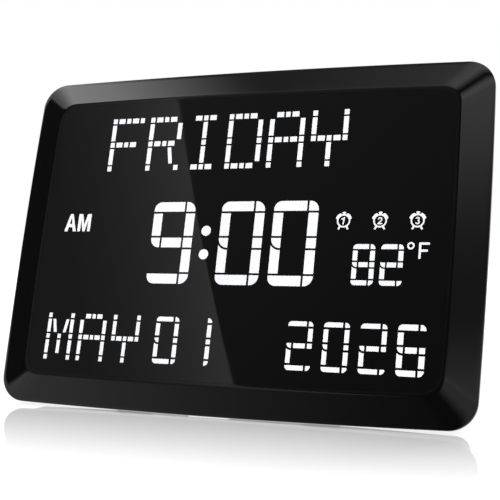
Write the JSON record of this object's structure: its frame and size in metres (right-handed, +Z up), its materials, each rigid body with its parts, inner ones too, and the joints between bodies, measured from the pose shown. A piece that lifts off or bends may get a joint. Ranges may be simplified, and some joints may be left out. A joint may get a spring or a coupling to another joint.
{
  "type": "digital day clock",
  "caption": "Wide digital day clock: chamfered gloss-black frame, lit white readout of weekday, time, date and temperature, rear buttons and a folding kickstand.",
  "frame": {"origin": "on the floor, at the middle of the whole clock seen from above, with its kickstand open", "axes": "+X to the right as the readout is read, -Y towards the reader, +Z up; the face leans back 15.2 degrees"},
  "size_m": [0.2626, 0.0689, 0.1806],
  "materials": {
    "gloss_black": "polished",
    "smoked_panel": "gloss smoked acrylic",
    "tape": "matt foam tape",
    "mask_black": "printed matt film",
    "lit_white": "translucent, lit from behind",
    "diffuser": "frosted",
    "box_white": "moulded",
    "board_green": "solder mask",
    "led": "moulded resin",
    "chip_black": "moulded resin",
    "case_black": "fine texture",
    "button_black": "satin",
    "jack_black": "moulded",
    "plated_pin": "nickel plated",
    "screw_steel": "zinc plated",
    "cell_steel": "bright",
    "can_aluminium": "bright",
    "rubber_black": "matt",
    "cable_white": "smooth"
  },
  "bodies": {
    "case": {"day_segments": "lit_white", "meridiem_sign": "lit_white", "time_segments": "lit_white", "colon_dots": "lit_white", "alarm_icons": "lit_white", "temperature_segments": "lit_white", "temperature_unit": "lit_white", "month_segments": "lit_white", "date_segments": "lit_white", "year_segments": "lit_white", "front_frame": "gloss_black", "front_panel": "smoked_panel", "panel_tape": "tape", "segment_film": "mask_black", "diffuser_sheet": "diffuser", "light_box": "box_white", "display_board": "board_green", "segment_leds": "led", "driver_chips": "chip_black", "rear_cover": "case_black", "case_screws": "screw_steel", "board_screws": "screw_steel", "bottom_feet": "rubber_black", "main_board": "board_green", "tact_switches": "chip_black", "power_jack": "jack_black", "power_jack_pin": "plated_pin", "battery_holder": "chip_black", "battery_contact": "plated_pin", "coin_cell": "cell_steel", "buzzer": "chip_black", "controller_chip": "chip_black", "clock_crystal": "cell_steel", "capacitors": "can_aluminium", "temperature_sensor": "chip_black", "cable_sockets": "box_white", "flat_cable": "cable_white", "kickstand_pin": "cell_steel"},
    "stand": {"kickstand": "case_black", "kickstand_foot": "rubber_black"},
    "door": {"battery_door": "case_black"},
    "set_key": {"button_set": "button_black"},
    "alarm_key": {"button_alarm": "button_black"},
    "up_key": {"button_up": "button_black"},
    "down_key": {"button_down": "button_black"},
    "brightness_key": {"button_brightness": "button_black"},
    "unit_key": {"button_unit": "button_black"}
  },
  "joints": [
    {"name": "kickstand_fold", "type": "hinge", "parent": "case", "child": "stand", "pos_m": [0, 0.01235, 0.09745], "axis": [1, 0, 0], "range_deg": [-26.2, 0]},
    {"name": "battery_door_twist", "type": "hinge", "parent": "case", "child": "door", "pos_m": [-0.066, 0.02478, 0.13138], "axis": [0, 0.965, -0.2622], "range_deg": [0, 60]},
    {"name": "press_set", "type": "slide", "parent": "case", "child": "set_key", "axis": [0, -0.965, 0.2622], "range_m": [0, 0.0006], "stiffness_N_per_m": 1000, "springref_m": -0.0003},
    {"name": "press_alarm", "type": "slide", "parent": "case", "child": "alarm_key", "axis": [0, -0.965, 0.2622], "range_m": [0, 0.0006], "stiffness_N_per_m": 1000, "springref_m": -0.0003},
    {"name": "press_up", "type": "slide", "parent": "case", "child": "up_key", "axis": [0, -0.965, 0.2622], "range_m": [0, 0.0006], "stiffness_N_per_m": 1000, "springref_m": -0.0003},
    {"name": "press_down", "type": "slide", "parent": "case", "child": "down_key", "axis": [0, -0.965, 0.2622], "range_m": [0, 0.0006], "stiffness_N_per_m": 1000, "springref_m": -0.0003},
    {"name": "press_brightness", "type": "slide", "parent": "case", "child": "brightness_key", "axis": [0, -0.965, 0.2622], "range_m": [0, 0.0006], "stiffness_N_per_m": 1000, "springref_m": -0.0003},
    {"name": "press_unit", "type": "slide", "parent": "case", "child": "unit_key", "axis": [0, -0.965, 0.2622], "range_m": [0, 0.0006], "stiffness_N_per_m": 1000, "springref_m": -0.0003}
  ]
}
